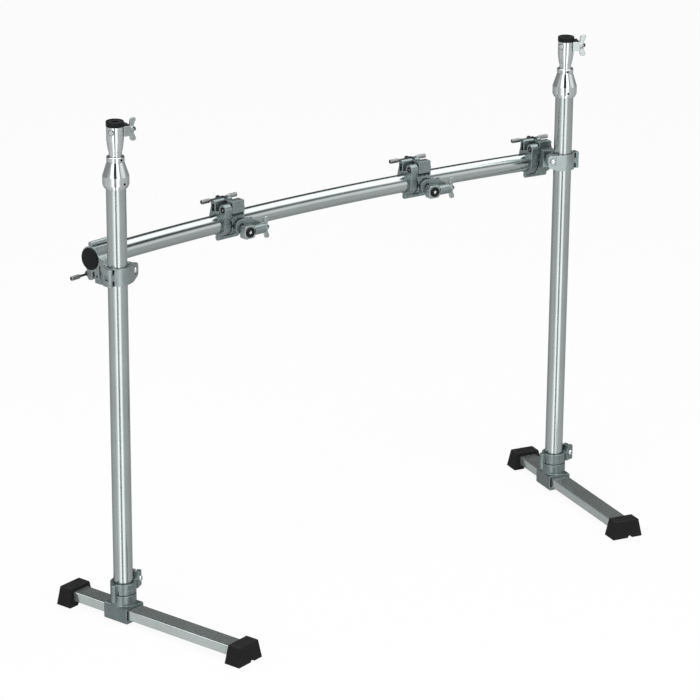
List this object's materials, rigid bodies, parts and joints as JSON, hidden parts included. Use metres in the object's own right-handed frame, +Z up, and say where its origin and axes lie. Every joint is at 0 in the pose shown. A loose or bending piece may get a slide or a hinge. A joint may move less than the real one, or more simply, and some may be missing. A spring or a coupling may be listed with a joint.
{
  "type": "drum rack frame",
  "caption": "Curved tube rack on two round legs with T-shaped rubber feet, corner and accessory clamps, and a boom socket on each leg.",
  "frame": {"origin": "centre of the footprint, on the floor", "axes": "+X to the player's left, along the rail, +Y towards the player, +Z up"},
  "size_m": [1.2752, 0.4754, 1.012],
  "materials": {
    "brushed_steel": "brushed stainless tube",
    "chrome": "polished chrome",
    "grey_casting": "satin grey casting",
    "bar_steel": "satin steel bar",
    "light_casting": "bright satin casting",
    "dark_steel": "dark steel",
    "black_plastic": "black moulded plastic",
    "black_rubber": "matt black rubber"
  },
  "bodies": {
    "rail": {"rail_tube": "brushed_steel", "rail_cap_left": "black_plastic", "rail_cap_right": "black_plastic"},
    "left_corner": {"left_corner_casting": "grey_casting", "left_corner_bolt_block": "grey_casting", "left_corner_strap": "grey_casting", "left_corner_strap_bolt": "chrome"},
    "left_corner_gate": {"left_corner_gate": "grey_casting"},
    "left_corner_washer": {"left_corner_bolt_washer": "dark_steel"},
    "left_corner_handle": {"left_corner_t_handle": "light_casting"},
    "right_corner": {"right_corner_casting": "grey_casting", "right_corner_bolt_block": "grey_casting", "right_corner_strap": "grey_casting", "right_corner_strap_bolt": "chrome"},
    "right_corner_gate": {"right_corner_gate": "grey_casting"},
    "right_corner_washer": {"right_corner_bolt_washer": "dark_steel"},
    "right_corner_handle": {"right_corner_t_handle": "light_casting"},
    "clamp_a": {"clamp_a_jaw": "grey_casting", "clamp_a_bolt_block": "grey_casting"},
    "clamp_a_gate": {"clamp_a_gate": "grey_casting"},
    "clamp_a_washer": {"clamp_a_bolt_washer": "dark_steel"},
    "clamp_a_handle": {"clamp_a_t_handle": "light_casting"},
    "clamp_a_holder": {"clamp_a_holder": "grey_casting", "clamp_a_holder_screw": "dark_steel", "clamp_a_eye_bolt": "light_casting", "clamp_a_eye_bush": "black_plastic"},
    "clamp_a_nut": {"clamp_a_wing_nut": "light_casting"},
    "clamp_b": {"clamp_b_jaw": "grey_casting", "clamp_b_bolt_block": "grey_casting"},
    "clamp_b_gate": {"clamp_b_gate": "grey_casting"},
    "clamp_b_washer": {"clamp_b_bolt_washer": "dark_steel"},
    "clamp_b_handle": {"clamp_b_t_handle": "light_casting"},
    "clamp_b_holder": {"clamp_b_holder": "grey_casting", "clamp_b_holder_screw": "dark_steel", "clamp_b_eye_bolt": "light_casting", "clamp_b_eye_bush": "black_plastic"},
    "clamp_b_nut": {"clamp_b_wing_nut": "light_casting"},
    "left_leg": {"left_leg_tube": "brushed_steel", "left_cone_collar": "chrome"},
    "left_socket": {"left_socket": "chrome", "left_socket_cap": "black_plastic", "left_socket_bolt": "dark_steel"},
    "left_socket_nut": {"left_socket_wing_nut": "light_casting"},
    "left_foot": {"left_foot_casting": "grey_casting", "left_foot_bolt": "chrome", "left_foot_bar": "bar_steel", "left_foot_front_rubber": "black_rubber", "left_foot_rear_rubber": "black_rubber"},
    "right_leg": {"right_leg_tube": "brushed_steel", "right_cone_collar": "chrome"},
    "right_socket": {"right_socket": "chrome", "right_socket_cap": "black_plastic", "right_socket_bolt": "dark_steel"},
    "right_socket_nut": {"right_socket_wing_nut": "light_casting"},
    "right_foot": {"right_foot_casting": "grey_casting", "right_foot_bolt": "chrome", "right_foot_bar": "bar_steel", "right_foot_front_rubber": "black_rubber", "right_foot_rear_rubber": "black_rubber"}
  },
  "joints": [
    {"name": "left_corner_along_rail", "type": "hinge", "parent": "rail", "child": "left_corner", "pos_m": [0, -3.39717, 0.725], "axis": [0, 0, 1], "range_deg": [-0.95, 0]},
    {"name": "left_corner_loosen", "type": "slide", "parent": "left_corner", "child": "left_corner_washer", "axis": [-0.156, 0.9878, 0], "range_m": [0, 0.008]},
    {"name": "left_corner_handle_turn", "type": "hinge", "parent": "left_corner_washer", "child": "left_corner_handle", "pos_m": [-0.56634, 0.18777, 0.684], "axis": [-0.156, 0.9878, 0], "range_deg": [0, 1441]},
    {"name": "left_corner_gate_open", "type": "hinge", "parent": "left_corner", "child": "left_corner_gate", "pos_m": [-0.56159, 0.15774, 0.75355], "axis": [0.9878, 0.156, 0], "range_deg": [0, 5.45]},
    {"name": "right_corner_along_rail", "type": "hinge", "parent": "rail", "child": "right_corner", "pos_m": [0, -3.39717, 0.725], "axis": [0, 0, 1], "range_deg": [0, 0.95]},
    {"name": "right_corner_loosen", "type": "slide", "parent": "right_corner", "child": "right_corner_washer", "axis": [0.156, 0.9878, 0], "range_m": [0, 0.008]},
    {"name": "right_corner_handle_turn", "type": "hinge", "parent": "right_corner_washer", "child": "right_corner_handle", "pos_m": [0.56634, 0.18777, 0.766], "axis": [0.156, 0.9878, 0], "range_deg": [0, 1441]},
    {"name": "right_corner_gate_open", "type": "hinge", "parent": "right_corner", "child": "right_corner_gate", "pos_m": [0.56159, 0.15774, 0.69645], "axis": [-0.9878, 0.156, 0], "range_deg": [0, 5.45]},
    {"name": "clamp_a_along_rail", "type": "hinge", "parent": "rail", "child": "clamp_a", "pos_m": [0, -3.39717, 0.725], "axis": [0, 0, 1], "range_deg": [-2.05, 2.05]},
    {"name": "clamp_a_loosen", "type": "slide", "parent": "clamp_a", "child": "clamp_a_washer", "axis": [-0.0632, 0.998, 0], "range_m": [0, 0.008]},
    {"name": "clamp_a_handle_turn", "type": "hinge", "parent": "clamp_a_washer", "child": "clamp_a_handle", "pos_m": [-0.22941, 0.22497, 0.766], "axis": [-0.0632, 0.998, 0], "range_deg": [0, 1441]},
    {"name": "clamp_a_gate_open", "type": "hinge", "parent": "clamp_a", "child": "clamp_a_gate", "pos_m": [-0.22748, 0.19464, 0.69645], "axis": [-0.998, -0.0632, 0], "range_deg": [0, 5.45]},
    {"name": "clamp_a_holder_tilt", "type": "hinge", "parent": "clamp_a", "child": "clamp_a_holder", "pos_m": [-0.22228, 0.15989, 0.722], "axis": [-0.0632, 0.998, 0], "range_deg": [-60, 60]},
    {"name": "clamp_a_nut_turn", "type": "hinge", "parent": "clamp_a_holder", "child": "clamp_a_nut", "pos_m": [-0.16673, 0.15289, 0.712], "axis": [0.998, 0.0632, 0], "continuous": true},
    {"name": "clamp_b_along_rail", "type": "hinge", "parent": "rail", "child": "clamp_b", "pos_m": [0, -3.39717, 0.725], "axis": [0, 0, 1], "range_deg": [-2.05, 2.05]},
    {"name": "clamp_b_loosen", "type": "slide", "parent": "clamp_b", "child": "clamp_b_washer", "axis": [0.0706, 0.9975, 0], "range_m": [0, 0.008]},
    {"name": "clamp_b_handle_turn", "type": "hinge", "parent": "clamp_b_washer", "child": "clamp_b_handle", "pos_m": [0.25637, 0.22317, 0.766], "axis": [0.0706, 0.9975, 0], "range_deg": [0, 1441]},
    {"name": "clamp_b_gate_open", "type": "hinge", "parent": "clamp_b", "child": "clamp_b_gate", "pos_m": [0.25422, 0.19284, 0.69645], "axis": [-0.9975, 0.0706, 0], "range_deg": [0, 5.45]},
    {"name": "clamp_b_holder_tilt", "type": "hinge", "parent": "clamp_b", "child": "clamp_b_holder", "pos_m": [0.25474, 0.15772, 0.722], "axis": [0.0706, 0.9975, 0], "range_deg": [-60, 60]},
    {"name": "clamp_b_nut_turn", "type": "hinge", "parent": "clamp_b_holder", "child": "clamp_b_nut", "pos_m": [0.30886, 0.14336, 0.712], "axis": [0.9975, -0.0706, 0], "continuous": true},
    {"name": "left_leg_height", "type": "slide", "parent": "left_corner", "child": "left_leg", "axis": [0, 0, 1], "range_m": [-0.1, 0.4]},
    {"name": "left_foot_turn", "type": "hinge", "parent": "left_leg", "child": "left_foot", "pos_m": [-0.56875, 0.08532, 0.04], "axis": [0, 0, 1], "continuous": true},
    {"name": "left_socket_turn", "type": "hinge", "parent": "left_leg", "child": "left_socket", "pos_m": [-0.56875, 0.08532, 0.95], "axis": [0, 0, 1], "continuous": true},
    {"name": "left_socket_nut_turn", "type": "hinge", "parent": "left_socket", "child": "left_socket_nut", "pos_m": [-0.53939, 0.07867, 0.98925], "axis": [0.9903, -0.1392, 0], "continuous": true},
    {"name": "right_leg_height", "type": "slide", "parent": "right_corner", "child": "right_leg", "axis": [0, 0, 1], "range_m": [-0.1, 0.4]},
    {"name": "right_foot_turn", "type": "hinge", "parent": "right_leg", "child": "right_foot", "pos_m": [0.56875, 0.08532, 0.04], "axis": [0, 0, 1], "continuous": true},
    {"name": "right_socket_turn", "type": "hinge", "parent": "right_leg", "child": "right_socket", "pos_m": [0.56875, 0.08532, 0.95], "axis": [0, 0, 1], "continuous": true},
    {"name": "right_socket_nut_turn", "type": "hinge", "parent": "right_socket", "child": "right_socket_nut", "pos_m": [0.59378, 0.06859, 0.98925], "axis": [0.8746, -0.4848, 0], "continuous": true}
  ],
  "couplings": [
    {"joint": "left_corner_handle_turn", "follows": "left_corner_loosen", "rad_per_m": 3141.6},
    {"joint": "left_corner_gate_open", "follows": "left_corner_loosen", "rad_per_m": 11.8},
    {"joint": "right_corner_handle_turn", "follows": "right_corner_loosen", "rad_per_m": 3141.6},
    {"joint": "right_corner_gate_open", "follows": "right_corner_loosen", "rad_per_m": 11.8},
    {"joint": "clamp_a_handle_turn", "follows": "clamp_a_loosen", "rad_per_m": 3141.6},
    {"joint": "clamp_a_gate_open", "follows": "clamp_a_loosen", "rad_per_m": 11.8},
    {"joint": "clamp_b_handle_turn", "follows": "clamp_b_loosen", "rad_per_m": 3141.6},
    {"joint": "clamp_b_gate_open", "follows": "clamp_b_loosen", "rad_per_m": 11.8}
  ]
}
